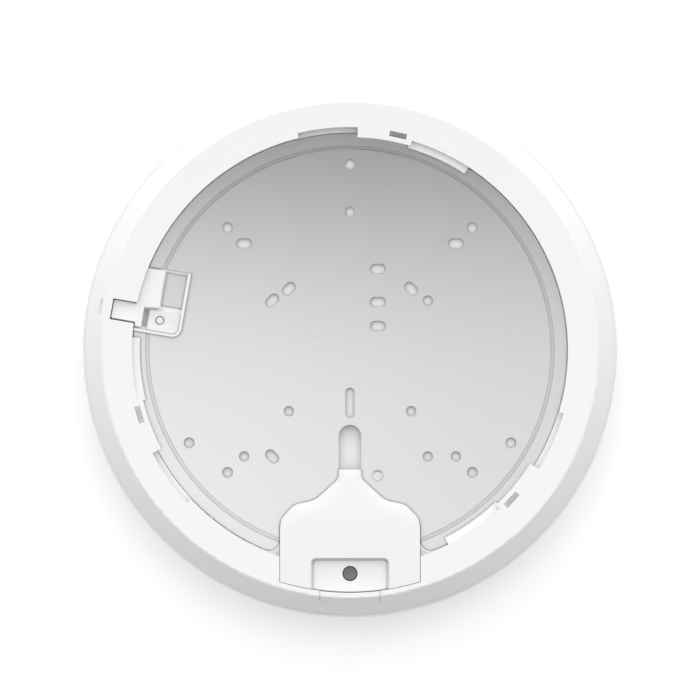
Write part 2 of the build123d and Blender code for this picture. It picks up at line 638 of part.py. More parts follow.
# ---------------------------------------------------------------- detent springs
for number, at in enumerate(LUG_SETS, start=1):
    with BuildPart() as detent_spring:
        seat = Plane.XY.offset(LIP_BOTTOM - DETENT_TRAVEL - FIT - DETENT_T).rotated(
            (0, 0, clockwise(at)))
        with BuildSketch(seat) as leaf:
            box_between((WINDOW_IN - 0.6, -DETENT_W / 2), (RING_WALL_R - FIT, DETENT_W / 2))
            fillet(leaf.vertices(), 0.4)
        extrude(amount=DETENT_T)
        # raised grips in the middle of the leaf, seen through the window
        with BuildSketch(Plane(seat.origin + (0, 0, DETENT_T), x_dir=seat.x_dir, z_dir=(0, 0, 1))):
            with Locations(*[((WINDOW_IN + WINDOW_OUT) / 2, y) for y in (-1.8, -0.9, 0, 0.9, 1.8)]):
                Rectangle(1.6, 0.4)
        extrude(amount=0.3)
        # the bump that a bracket's lug clicks past
        with BuildSketch(seat):
            with Locations(((WINDOW_IN + WINDOW_OUT) / 2, 0)):
                Rectangle(2.0, 2.4)
        extrude(amount=-0.7, taper=35)
    finish(detent_spring, f"detent_spring_{number}")

# ---------------------------------------------------------------- reset
with BuildPart() as reset_button:
    with BuildSketch(Plane.XY.offset(SWITCH_TOP + RESET_TRAVEL + RESET_LIFT)):
        with Locations((0, RESET_Y)):
            Circle(RESET_R)
    extrude(amount=RESET_TOP - SWITCH_TOP - RESET_TRAVEL - RESET_LIFT)
    chamfer(reset_button.faces().sort_by(Axis.Z)[-1].edges(), 0.4)
finish(reset_button, "reset_button")

with BuildPart() as reset_switch:
    with BuildSketch(Plane.XY.offset(BOARD_Z)):
        with Locations((0, RESET_Y)):
            Rectangle(SWITCH_W, SWITCH_W)
    extrude(amount=SWITCH_TOP - SWITCH_PLUNGER_H - BOARD_Z)
    with BuildSketch(Plane.XY.offset(SWITCH_TOP - SWITCH_PLUNGER_H)):
        with Locations((0, RESET_Y)):
            Circle(SWITCH_PLUNGER_R)
    extrude(amount=SWITCH_PLUNGER_H)
finish(reset_switch, "reset_switch")

# ---------------------------------------------------------------- radome
def dome_profile(drop):
    """Half profile of the dome, moved in by drop: a shallow crown and a rounded rim."""
    rim, crown = BODY_R - drop, -BODY_H + drop
    edge = (0.84 * rim, crown + CROWN_RISE)
    ThreePointArc((0, crown), (edge[0] / 2, crown + CROWN_RISE / 4), edge)
    Spline(edge, (rim, RIM_Z - 4), tangents=((1, 2 * CROWN_RISE / edge[0]), (0, 1)))


with BuildPart() as radome:
    with BuildSketch(Plane.XZ):
        with BuildLine():
            dome_profile(0)
            Line((0, -BODY_H), (0, -BODY_H + WALL))
            dome_profile(WALL)
            Polyline((BODY_R - WALL, RIM_Z - 4), (SPIGOT_R - 1.6, RIM_Z - 3), (SPIGOT_R - 1.6, RIM_Z + 3),
                     (SPIGOT_R, RIM_Z + 3), (SPIGOT_R, RIM_Z), (BODY_R, RIM_Z), (BODY_R, RIM_Z - 4))
        make_face()
    revolve(axis=Axis.Z)
    with BuildSketch(Plane.XY.offset(-BODY_H - 1)):
        Circle(LIGHT_R)
    extrude(amount=5, mode=Mode.SUBTRACT)
finish(radome, "radome")

with BuildPart() as radome_gasket:
    with BuildSketch(Plane.XY.offset(RIM_Z)):
        Circle(SKIRT_R - 0.4)
        Circle(SKIRT_R - WALL + 0.3, mode=Mode.SUBTRACT)
    extrude(amount=GASKET_T)
finish(radome_gasket, "radome_gasket")

with BuildPart() as light_guide:
    with BuildSketch(Plane.XY.offset(-BODY_H + LIGHT_RECESS)):
        Circle(LIGHT_R)
    extrude(amount=BODY_H - LIGHT_RECESS + BOARD_BOTTOM - 1.6)
    with BuildSketch(Plane.XY.offset(-BODY_H + WALL)):
        Circle(LIGHT_R + LIGHT_LIP)
    extrude(amount=1)
finish(light_guide, "light_guide")

# ---------------------------------------------------------------- electronics
with BuildPart() as status_led:
    with BuildSketch(Plane.XY.offset(BOARD_BOTTOM - 1.2)):
        Rectangle(3.2, 2.8)
    extrude(amount=1.2)
finish(status_led, "status_led")

with BuildPart() as main_board:
    with BuildSketch(Plane.XY.offset(BOARD_BOTTOM)):
        Circle(BOARD_R)
        with Locations((0, -BOARD_R - 12)):
            Rectangle(60, 28, mode=Mode.SUBTRACT)
        with Locations((0, RESET_Y)):
            Rectangle(16, 12)
        with Locations(*BOARD_POSTS):
            Circle(PILOT_R + 0.35, mode=Mode.SUBTRACT)
    extrude(amount=BOARD_T)
finish(main_board, "main_board")

with BuildPart() as board_screws:
    with BuildSketch(Plane.XY.offset(BOARD_BOTTOM - 2)):
        with Locations(*BOARD_POSTS):
            Circle(2.8)
            Circle(1.0, mode=Mode.SUBTRACT)
    extrude(amount=2)
    with BuildSketch(Plane.XY.offset(BOARD_BOTTOM - 1)):
        with Locations(*BOARD_POSTS):
            Circle(PILOT_R)
    extrude(amount=BOARD_T + PILOT_L - 1)
finish(board_screws, "board_screws")

PROCESSOR_AT, PROCESSOR_W = (-16, 22), 19
RADIOS = [(17, 46), (17, 10)]
RADIO_W, RADIO_L = 28, 26

with BuildPart() as processor:
    with BuildSketch(Plane.XY.offset(BOARD_Z)):
        with Locations(PROCESSOR_AT):
            Rectangle(PROCESSOR_W, PROCESSOR_W)
    extrude(amount=CHIP_H)
finish(processor, "processor")

with BuildPart() as memory_chips:
    with BuildSketch(Plane.XY.offset(BOARD_Z)):
        with Locations((-40, 14), (-40, 30)):
            Rectangle(13, 9)
    extrude(amount=1)
finish(memory_chips, "memory_chips")

with BuildPart() as radio_shields:
    with BuildSketch(Plane.XY.offset(BOARD_Z)):
        with Locations(*RADIOS):
            Rectangle(RADIO_W, RADIO_L)
    extrude(amount=SHIELD_H)
    with BuildSketch(Plane.XY.offset(BOARD_Z)):
        with Locations(*RADIOS):
            Rectangle(RADIO_W - 0.8, RADIO_L - 0.8)
    extrude(amount=SHIELD_H - 0.4, mode=Mode.SUBTRACT)
finish(radio_shields, "radio_shields")

with BuildPart() as radio_chips:
    with BuildSketch(Plane.XY.offset(BOARD_Z)):
        with Locations(*RADIOS):
            Rectangle(11, 11)
    extrude(amount=CHIP_H)
finish(radio_chips, "radio_chips")

with BuildPart() as thermal_pads:
    with BuildSketch(Plane.XY.offset(BOARD_Z + CHIP_H)):
        with Locations(PROCESSOR_AT):
            Rectangle(PROCESSOR_W - 1, PROCESSOR_W - 1)
    extrude(amount=PAD_T)
    with BuildSketch(Plane.XY.offset(BOARD_Z + SHIELD_H)):
        with Locations(*RADIOS):
            Rectangle(RADIO_W - 4, RADIO_L - 4)
    extrude(amount=PAD_T)
finish(thermal_pads, "thermal_pads")

SINK_TOP = FLOOR_BOTTOM - FIT
SINK_FEET = [(-34, 54), (35.5, 57), (-32, -2), (35.5, -1)]
with BuildPart() as heat_sink:
    with BuildSketch(Plane.XY.offset(SINK_TOP - SINK_T)):
        with Locations((0, SINK_Y)):
            Circle(SINK_R)
    extrude(amount=SINK_T)
    with BuildSketch(Plane.XY.offset(BOARD_Z + CHIP_H + PAD_T)):
        with Locations(PROCESSOR_AT):
            Rectangle(PROCESSOR_W, PROCESSOR_W)
    extrude(amount=SINK_TOP - SINK_T - BOARD_Z - CHIP_H - PAD_T)
    with BuildSketch(Plane.XY.offset(BOARD_Z + SHIELD_H + PAD_T)):
        with Locations(*RADIOS):
            Rectangle(RADIO_W - 4, RADIO_L - 4)
    extrude(amount=SINK_TOP - SINK_T - BOARD_Z - SHIELD_H - PAD_T)
    with BuildSketch(Plane.XY.offset(BOARD_Z)):
        with Locations(*SINK_FEET):
            Circle(3)
    extrude(amount=SINK_TOP - SINK_T - BOARD_Z)
finish(heat_sink, "heat_sink")

with BuildPart() as ethernet_jack:
    with BuildSketch(Plane.XY.offset(BOARD_Z)):
        with Locations((0, JACK_FRONT_Y - JACK_L / 2)):
            Rectangle(JACK_W, JACK_L)
    extrude(amount=JACK_H)
    # plug cavity with the latch's keyway
    mouth = Plane(origin=(0, JACK_FRONT_Y, BOARD_Z), x_dir=(1, 0, 0), z_dir=(0, -1, 0))
    with BuildSketch(mouth):
        with Locations((0, SOCKET_H / 2 + 1.6)):
            Rectangle(SOCKET_W, SOCKET_H)
        with Locations((0, SOCKET_H + 1.6 + 1.2)):
            Rectangle(6.2, 2.4)
    extrude(amount=SOCKET_L, mode=Mode.SUBTRACT)
finish(ethernet_jack, "ethernet_jack")

with BuildPart() as jack_contacts:
    with BuildSketch(Plane.XZ.offset(-JACK_FRONT_Y + 3)):
        with Locations(*[(1.02 * (i - 3.5), BOARD_Z + 1.6 + 0.5) for i in range(8)]):
            Rectangle(0.45, 1.0)
    extrude(amount=SOCKET_L - 3)
finish(jack_contacts, "jack_contacts")

with BuildPart() as magnetics:
    with BuildSketch(Plane.XY.offset(BOARD_Z)):
        with Locations((42, -42)):
            Rectangle(18, 13)
    extrude(amount=6)
finish(magnetics, "magnetics")

with BuildPart() as capacitors:
    with BuildSketch(Plane.XY.offset(BOARD_Z)):
        with Locations((-36, -44), (-47, -38), (-56, -29)):
            Circle(4)
    extrude(amount=9)
    fillet(capacitors.faces().group_by(Axis.Z)[-1].edges(), 0.5)
finish(capacitors, "capacitors")

with BuildPart() as inductors:
    with BuildSketch(Plane.XY.offset(BOARD_Z)):
        with Locations((-40, -24), (-28, -30), (-24, -18)):
            Rectangle(7, 7)
    extrude(amount=4)
    fillet(inductors.edges().filter_by(Axis.Z), 1)
finish(inductors, "inductors")

with BuildPart() as antenna_carrier:
    with BuildSketch(Plane.XY.offset(CARRIER_Z - CARRIER_T)):
        Circle(CARRIER_OUT)
        Circle(CARRIER_IN, mode=Mode.SUBTRACT)
    extrude(amount=CARRIER_T)
    with BuildSketch(Plane.XY.offset(CARRIER_Z)):
        with PolarLocations((CARRIER_OUT + CARRIER_IN) / 2, 4, start_angle=45):
            Circle(3)
    extrude(amount=BOARD_BOTTOM - CARRIER_Z)
finish(antenna_carrier, "antenna_carrier")


def antenna_set(name, start_angle, patch_w, patch_l, height):
    """Four stamped patches on legs under the carrier."""
    seat_r = (CARRIER_OUT + CARRIER_IN) / 2
    bottom = CARRIER_Z - CARRIER_T
    with BuildPart() as antennas:
        with BuildSketch(Plane.XY.offset(bottom - height)):
            with PolarLocations(seat_r, 4, start_angle=start_angle):
                Rectangle(patch_l, patch_w)
        extrude(amount=SHEET_T)
        with BuildSketch(Plane.XY.offset(bottom - height)):
            with PolarLocations(seat_r, 4, start_angle=start_angle):
                with Locations((-patch_l / 2 + SHEET_T / 2, 0), (0, patch_w / 4)):
                    Rectangle(SHEET_T, patch_w / 2)
        extrude(amount=height)
    finish(antennas, name)


antenna_set("low_band_antennas", 0, 26, 14, 3.2)
antenna_set("high_band_antennas", 45, 13, 9, 2.4)
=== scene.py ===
# %% [markdown]
# # A ceiling access point, looked at from the ceiling side
#
# The device is a shallow round box. What you see here is its back: a flat white ring that meets the ceiling,
# a skirt that slopes down to the radome, and a recess with a steel plate full of mounting holes. The CAD model
# already gives every piece its true size, so this lesson is about how each surface looks and about the soft,
# moulded shapes that a CAD solid leaves too crisp.
#
# First the CAD frame is loaded. Its box is kept as CAD_BOX.

import json
from math import pi, radians

import bmesh
import bpy
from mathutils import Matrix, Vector


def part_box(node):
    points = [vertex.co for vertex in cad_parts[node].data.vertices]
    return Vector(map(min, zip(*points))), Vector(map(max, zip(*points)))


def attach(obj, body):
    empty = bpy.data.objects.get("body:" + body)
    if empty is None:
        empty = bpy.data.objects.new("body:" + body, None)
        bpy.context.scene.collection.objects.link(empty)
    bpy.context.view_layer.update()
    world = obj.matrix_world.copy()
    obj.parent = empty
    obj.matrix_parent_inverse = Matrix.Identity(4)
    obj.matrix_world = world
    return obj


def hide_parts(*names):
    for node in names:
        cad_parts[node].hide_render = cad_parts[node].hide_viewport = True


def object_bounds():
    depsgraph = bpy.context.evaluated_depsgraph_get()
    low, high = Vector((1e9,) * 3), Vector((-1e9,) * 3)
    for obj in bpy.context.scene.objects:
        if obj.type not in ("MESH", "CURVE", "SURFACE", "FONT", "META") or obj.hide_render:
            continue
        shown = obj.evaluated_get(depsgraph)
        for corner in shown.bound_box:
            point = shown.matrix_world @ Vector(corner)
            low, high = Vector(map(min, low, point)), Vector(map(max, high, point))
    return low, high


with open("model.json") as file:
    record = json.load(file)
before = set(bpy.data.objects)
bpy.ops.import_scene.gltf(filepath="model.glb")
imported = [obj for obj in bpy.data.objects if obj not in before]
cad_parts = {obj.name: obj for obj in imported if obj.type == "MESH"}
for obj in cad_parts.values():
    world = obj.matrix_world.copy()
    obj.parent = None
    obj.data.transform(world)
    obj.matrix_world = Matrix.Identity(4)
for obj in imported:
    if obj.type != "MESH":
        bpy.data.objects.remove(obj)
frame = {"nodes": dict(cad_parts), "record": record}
CAD_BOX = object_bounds()
MM = 0.001
print("CAD box in mm:", [[round(v / MM, 2) for v in corner] for corner in CAD_BOX])

# %% [markdown]
# ## Working like a hand modeller
#
# Operators act on whatever is selected, and loading the frame leaves things selected. So every step starts from
# an empty selection. These short helpers select one object, open it for editing, and hand a finished piece over:
# it stands for a CAD node, rides on that node's body and keeps its material slot.

# %% Selection helpers
NODE_BODY = {node: body for body, nodes in frame["record"]["behaviour"]["bodies"].items() for node in nodes}
NODE_SLOT = {part["node"]: part["material_slot"] for part in frame["record"]["subparts"]}


def only(piece):
    """Make piece the only selected and the active object."""
    if bpy.context.object and bpy.context.object.mode != "OBJECT":
        bpy.ops.object.mode_set(mode="OBJECT")
    bpy.ops.object.select_all(action="DESELECT")
    piece.select_set(True)
    bpy.context.view_layer.objects.active = piece
    return piece


def edit(piece):
    """Open piece in edit mode with nothing selected."""
    only(piece)
    bpy.ops.object.mode_set(mode="EDIT")
    bpy.ops.mesh.select_all(action="DESELECT")
    return bmesh.from_edit_mesh(piece.data)


def apply_all(piece):
    """Apply every modifier and the object's place, so that the mesh alone holds the shape."""
    only(piece)
    for modifier in list(piece.modifiers):
        bpy.ops.object.modifier_apply(modifier=modifier.name)
    bpy.ops.object.transform_apply(location=True, rotation=True, scale=True)
    return piece


def hand_over(piece, node, material, angle=35):
    """The finished piece stands for a CAD node, with its body, slot and material."""
    apply_all(piece)
    bpy.ops.object.shade_smooth_by_angle(angle=radians(angle))
    piece.name = piece.data.name = node + "_look"
    piece.data.materials.clear()
    piece.data.materials.append(material)
    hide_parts(node)
    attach(piece, NODE_BODY[node])
    print(f"{piece.name}: {len(piece.data.polygons)} faces")
    return piece


# %% [markdown]
# ## Shared surface effects
#
# Nothing on a real device is one flat colour. Moulded plastic carries the fine spark-eroded grain of its tool and
# a faint cloudiness, painted steel has a soft orange-peel, drawn metal has long fine scratches, and all of them
# gather a little dust. Many materials use these four effects, so each is built once as a node group with named
# inputs, and placed in each material with its own values.

# %% Node helpers
def new_group(name, inputs, outputs):
    """An empty shader node group with float inputs (name: default) and typed outputs."""
    group = bpy.data.node_groups.new(name, "ShaderNodeTree")
    for socket_name, value in inputs.items():
        group.interface.new_socket(socket_name, in_out="INPUT", socket_type="NodeSocketFloat").default_value = value
    for socket_name, kind in outputs.items():
        group.interface.new_socket(socket_name, in_out="OUTPUT", socket_type=kind)
    return group, group.nodes.new("NodeGroupInput"), group.nodes.new("NodeGroupOutput")


def math_node(tree, operation, first, second=None):
    """A Math node fed by sockets or numbers; returns its output."""
    node = tree.nodes.new("ShaderNodeMath")
    node.operation = operation
    for index, value in enumerate((first, second)):
        if value is None:
            continue
        if isinstance(value, (int, float)):
            node.inputs[index].default_value = value
        else:
            tree.links.new(value, node.inputs[index])
    return node.outputs[0]


def noise_node(tree, scale, detail=2.0, stretch=None):
    """Noise on Object coordinates, its scale a number or a socket; returns its value."""
    coords = tree.nodes.new("ShaderNodeTexCoord").outputs["Object"]
    if stretch:
        mapping = tree.nodes.new("ShaderNodeMapping")
        mapping.inputs["Scale"].default_value = stretch
        tree.links.new(coords, mapping.inputs["Vector"])
        coords = mapping.outputs["Vector"]
    noise = tree.nodes.new("ShaderNodeTexNoise")
    noise.inputs["Detail"].default_value = detail
    tree.links.new(coords, noise.inputs["Vector"])
    if isinstance(scale, (int, float)):
        noise.inputs["Scale"].default_value = scale
    else:
        tree.links.new(scale, noise.inputs["Scale"])
    return noise.outputs["Fac"]


# %% Grain, cloudiness, dust and scratch groups
def make_grain():
    """Fine pits and bumps of a moulded or painted surface, as a height."""
    group, inputs, outputs = new_group(
        "surface_grain", {"Fineness": 2500.0, "Coarse share": 0.3}, {"Height": "NodeSocketFloat"})
    fine = noise_node(group, inputs.outputs["Fineness"], 1.5)
    coarse_scale = math_node(group, "MULTIPLY", inputs.outputs["Fineness"], 0.12)
    coarse = noise_node(group, coarse_scale, 2.0)
    weighted = math_node(group, "MULTIPLY", coarse, inputs.outputs["Coarse share"])
    group.links.new(math_node(group, "ADD", fine, weighted), outputs.inputs["Height"])
    return group


def make_cloud():
    """Slow change over a surface, centred on 1, to multiply a colour or a roughness."""
    group, inputs, outputs = new_group("slow_cloud", {"Size": 30.0, "Amount": 0.03}, {"Factor": "NodeSocketFloat"})
    cloud = noise_node(group, inputs.outputs["Size"], 3.0)
    centred = math_node(group, "SUBTRACT", cloud, 0.5)
    scaled = math_node(group, "MULTIPLY", centred, inputs.outputs["Amount"])
    group.links.new(math_node(group, "ADD", scaled, 1.0), outputs.inputs["Factor"])
    return group


def make_dust():
    """A mask of fine specks that lie in patches."""
    group, inputs, outputs = new_group("dust_mask", {"Amount": 0.05}, {"Mask": "NodeSocketFloat"})
    specks = noise_node(group, 900.0, 3.0)
    sharp = math_node(group, "POWER", specks, 3.0)
    patches = noise_node(group, 25.0, 2.0)
    both = math_node(group, "MULTIPLY", sharp, patches)
    group.links.new(math_node(group, "MULTIPLY", both, inputs.outputs["Amount"]), outputs.inputs["Mask"])
    return group


def make_brushed():
    """Long fine scratches along one direction, as a height."""
    group, inputs, outputs = new_group("brushed_lines", {"Fineness": 700.0}, {"Height": "NodeSocketFloat"})
    lines = noise_node(group, inputs.outputs["Fineness"], 2.0, stretch=(0.04, 3.0, 1.0))
    group.links.new(lines, outputs.inputs["Height"])
    return group


GRAIN, CLOUD, DUST, BRUSHED = make_grain(), make_cloud(), make_dust(), make_brushed()
print("node groups:", [group.name for group in (GRAIN, CLOUD, DUST, BRUSHED)])


# %% [markdown]
# ## One recipe, many finishes
#
# A finish is its colour, how rough it is, and how its surface is broken up. The function below wires the groups
# round a Principled shader. A Bevel node rounds the shading of sharp edges by a fraction of a millimetre, as any
# mould or press does, so that they catch a thin line of light. Where a piece has narrow seams and pockets, an
# Ambient Occlusion node darkens their colour. That is painted shade: it stands in for the shadow in real creases.

# %% The finish recipe
def place(tree, group, **values):
    """A node group placed in a material, its inputs set by name."""
    node = tree.nodes.new("ShaderNodeGroup")
    node.node_tree = group
    for name, value in values.items():
        node.inputs[name].default_value = value
    return node


DUST_LIGHTENS, DUST_GREY = 0.62, 0.2        # a colour under dust: this share of it, plus this grey
GRAIN_STRENGTH = 0.6
ROUGHNESS_PATCH, ROUGHNESS_SWING = 2.3, 4   # roughness clouds against colour clouds: finer by, stronger by


def scaled_colour(tree, colour, factor):
    """A colour socket multiplied by a number socket."""
    scaled = tree.nodes.new("ShaderNodeVectorMath")
    scaled.operation = "SCALE"
    tree.links.new(colour, scaled.inputs[0])
    tree.links.new(factor, scaled.inputs["Scale"])
    return scaled.outputs[0]


def finish(name, colour, roughness, metallic=0.0, fineness=2500.0, depth=0.02, cloud=0.03, cloud_size=30.0,
           dust=0.03, edge=0.15, crease_shade=None, brushed=False):
    """A material: cloudy colour under a little dust, cloudy roughness, grain and rounded edges.

    depth and edge are in millimetres. The shade pair for creases is (reach in millimetres, darkness): the colour in
    creases narrower than the reach is made that much darker, which is painted shade."""
    material = bpy.data.materials.new(name)
    material.use_nodes = True
    tree = material.node_tree
    shader = tree.nodes["Principled BSDF"]
    shader.inputs["Metallic"].default_value = metallic
    clouds = place(tree, CLOUD, Size=cloud_size, Amount=cloud).outputs["Factor"]
    tint = tree.nodes.new("ShaderNodeMix")
    tint.data_type = "RGBA"
    tint.inputs["A"].default_value = (*colour, 1)
    tint.inputs["B"].default_value = (*[DUST_LIGHTENS * c + DUST_GREY for c in colour], 1)
    tree.links.new(place(tree, DUST, Amount=dust).outputs["Mask"], tint.inputs["Factor"])
    coloured = scaled_colour(tree, tint.outputs["Result"], clouds)
    # Painted shade: where the Ambient Occlusion node finds other surfaces near, the colour is made darker, standing
    # in for the shadow in seams, holes and pockets.
    if crease_shade:
        occlusion = tree.nodes.new("ShaderNodeAmbientOcclusion")
        occlusion.samples = 8
        occlusion.inputs["Distance"].default_value = crease_shade[0] * MM
        painted_crease_shade = math_node(tree, "MULTIPLY", math_node(tree, "SUBTRACT", 1.0, occlusion.outputs["AO"]), crease_shade[1])
        coloured = scaled_colour(tree, coloured, math_node(tree, "SUBTRACT", 1.0, painted_crease_shade))
    tree.links.new(coloured, shader.inputs["Base Color"])
    rough_cloud = place(tree, CLOUD, Size=cloud_size * ROUGHNESS_PATCH,
                        Amount=cloud * ROUGHNESS_SWING).outputs["Factor"]
    tree.links.new(math_node(tree, "MULTIPLY", rough_cloud, roughness), shader.inputs["Roughness"])
    bump = tree.nodes.new("ShaderNodeBump")
    bump.inputs["Strength"].default_value = GRAIN_STRENGTH
    bump.inputs["Distance"].default_value = depth * MM
    relief = place(tree, BRUSHED if brushed else GRAIN, Fineness=fineness)
    tree.links.new(relief.outputs["Height"], bump.inputs["Height"])
    if edge:
        bevel = tree.nodes.new("ShaderNodeBevel")
        bevel.samples = 4
        bevel.inputs["Radius"].default_value = edge * MM
        tree.links.new(bevel.outputs["Normal"], bump.inputs["Normal"])
    tree.links.new(bump.outputs["Normal"], shader.inputs["Normal"])
    return material


# %% The finishes of this device
FINISHES = {
    "white_plastic": finish("white_plastic", (0.79, 0.797, 0.803), 0.42, fineness=2600, depth=0.012, cloud=0.012),
    "dome_plastic": finish("dome_plastic", (0.80, 0.805, 0.81), 0.38, fineness=2600, depth=0.01, cloud=0.012),
    # The plate's colour is darkened in its bead groove and round its holes by its last value: painted shade.
    "plate_steel": finish("plate_steel", (0.80, 0.80, 0.79), 0.27, metallic=1.0, fineness=1500, depth=0.006,
                          cloud=0.02, cloud_size=18, edge=0.12, crease_shade=(1.2, 0.7)),
    # The sheet under the plate's holes is grey to stand in for the shade seen through them, and it is darkened round
    # each hole as well: both are painted shade.
    "plate_film_painted_shade": finish("plate_film_painted_shade", (0.66, 0.67, 0.67), 0.5, fineness=2600, depth=0.01, crease_shade=(1.6, 0.5)),
    # The lid's plastic is the white plastic made darker, to stand in for the shade on a lid that lies below the ring,
    # and it is darkened strongly in its pocket and seams: both are painted shade.
    "cover_plastic_painted_shade": finish("cover_plastic_painted_shade", (0.755, 0.765, 0.775), 0.42, fineness=2600, depth=0.012, cloud=0.012,
                            crease_shade=(0.9, 1.1)),
    "pad_metal": finish("pad_metal", (0.78, 0.78, 0.77), 0.4, metallic=0.3, fineness=2200, depth=0.012),
    "bright_steel": finish("bright_steel", (0.72, 0.72, 0.71), 0.3, metallic=1.0, fineness=900, depth=0.02,
                           cloud=0.05, cloud_size=200, brushed=True),
    "grey_rubber": finish("grey_rubber", (0.16, 0.16, 0.165), 0.6, fineness=3500, depth=0.02, dust=0.2),
    "dark_plastic": finish("dark_plastic", (0.03, 0.03, 0.033), 0.5, fineness=4000, depth=0.02, dust=0.15),
    "clear_plastic": finish("clear_plastic", (0.86, 0.88, 0.9), 0.25, fineness=2500, depth=0.01),
    "circuit_board": finish("circuit_board", (0.02, 0.13, 0.06), 0.35, fineness=900, depth=0.03, cloud=0.15,
                            cloud_size=120),
    "tinned_steel": finish("tinned_steel", (0.66, 0.66, 0.63), 0.32, metallic=1.0, fineness=700, depth=0.02,
                           cloud=0.08, cloud_size=90, brushed=True),
    "gold_contact": finish("gold_contact", (0.75, 0.56, 0.22), 0.25, metallic=1.0, fineness=4000, depth=0.005),
    "thermal_silicone": finish("thermal_silicone", (0.42, 0.5, 0.6), 0.75, fineness=1500, depth=0.05, cloud=0.08),
    "cast_aluminium": finish("cast_aluminium", (0.55, 0.56, 0.57), 0.45, metallic=1.0, fineness=1200, depth=0.06,
                             cloud=0.08, cloud_size=60),
    "carrier_plastic": finish("carrier_plastic", (0.5, 0.5, 0.48), 0.5, fineness=2600, depth=0.02),
}


# %% Traces on the circuit board
def draw_traces(material, colour):
    """Lighter copper runs under the board's green mask, mixed in before the base colour."""
    tree = material.node_tree
    base = tree.nodes["Principled BSDF"].inputs["Base Color"]
    before = base.links[0].from_socket
    bricks = tree.nodes.new("ShaderNodeTexBrick")
    bricks.offset = 0.37
    settings = {"Scale": 120, "Mortar Size": 0.06, "Mortar Smooth": 0.2, "Brick Width": 0.9, "Row Height": 0.22}
    for name, value in settings.items():
        bricks.inputs[name].default_value = value
    tree.links.new(tree.nodes.new("ShaderNodeTexCoord").outputs["Object"], bricks.inputs["Vector"])
    mix = tree.nodes.new("ShaderNodeMix")
    mix.data_type = "RGBA"
    mix.inputs["B"].default_value = (*colour, 1)
    tree.links.new(before, mix.inputs["A"])
    tree.links.new(bricks.outputs["Fac"], mix.inputs["Factor"])
    tree.links.new(mix.outputs["Result"], base)


draw_traces(FINISHES["circuit_board"], (0.07, 0.24, 0.1))
# Every CAD node takes its slot's finish; the sheet under the plate's holes takes the grey film finish, whose grey is
# painted shade.
for node, thing in frame["nodes"].items():
    thing.data.materials.clear()
    thing.data.materials.append(FINISHES[{"plate_backing": "plate_film_painted_shade"}.get(node, NODE_SLOT[node])])
    only(thing)
    bpy.ops.object.shade_smooth_by_angle(angle=radians(30))
print(len(FINISHES), "finishes on", len(frame["nodes"]), "nodes")

# %% [markdown]
# ## Round the edges that a mould or a press leaves round
#
# A CAD solid has razor edges. On the real device every edge has a small radius, and the eye reads it as a thin
# highlight. We could retype each shape from nothing, but its sizes are already right in the CAD mesh. So we work on
# a copy: merge its loose triangles, dissolve the flat ones into whole faces, and bevel the edges that are left.

# %% Copy a CAD piece and round its edges
def merged_copy(node):
    """A copy of a CAD node with its triangles merged and its flat faces whole."""
    mesh = frame["nodes"][node].data.copy()
    piece = bpy.data.objects.new(node + "_look", mesh)
    bpy.context.scene.collection.objects.link(piece)
    edit(piece)
    bpy.ops.mesh.select_all(action="SELECT")
    bpy.ops.mesh.remove_doubles(threshold=0.002 * MM)
    bpy.ops.mesh.dissolve_limited(angle_limit=radians(0.4))
    bpy.ops.object.mode_set(mode="OBJECT")
    bpy.ops.mesh.customdata_custom_splitnormals_clear()
    return piece


SHARP = radians(28)             # an edge that turns by more than this is rounded


def weigh_edges(piece, weight):
    """Give each sharp edge its own share of the bevel width; weight(edge) says how much."""
    mesh = edit(piece)
    layer = mesh.edges.layers.float.get("bevel_weight_edge") or mesh.edges.layers.float.new("bevel_weight_edge")
    sharp = 0
    for edge in mesh.edges:
        if len(edge.link_faces) == 2 and edge.calc_face_angle(0) > SHARP:
            edge[layer] = weight(edge)
            sharp += edge[layer] > 0
    bmesh.update_edit_mesh(piece.data)
    bpy.ops.object.mode_set(mode="OBJECT")
    return sharp


def bevelled(piece, width, segments=2, weight=None):
    """Round the sharp edges of piece by width millimetres."""
    sharp = weigh_edges(piece, weight or (lambda edge: 1.0))
    only(piece)
    bpy.ops.object.shade_smooth_by_angle(angle=radians(35))
    rounding = piece.modifiers.new("rounded edges", "BEVEL")
    rounding.limit_method = "WEIGHT"
    rounding.width = width * MM
    rounding.segments = segments
    rounding.use_clamp_overlap = weight is None
    even = piece.modifiers.new("even normals", "WEIGHTED_NORMAL")
    even.keep_sharp = True
    apply_all(piece)
    print(f"{piece.name}: {sharp} edges rounded")
    return piece


def soft_copy(node, width, segments=2, weight=None):
    """Hand over a rounded copy of a CAD node."""
    return hand_over(bevelled(merged_copy(node), width, segments, weight), node, FINISHES[NODE_SLOT[node]])


# %% [markdown]
# ## The radome, turned on a lathe
#
# The radome is the shallow dome that faces the room. Everything on it is round, so one half profile, drawn point by
# point and spun about the axis, gives the whole shell: a crown that is nearly flat, a rim that rolls up to the
# seam, a spigot that plugs into the ring, and the inside wall. A sphere or a scaled cylinder would not have that
# slow crown and quick rim.

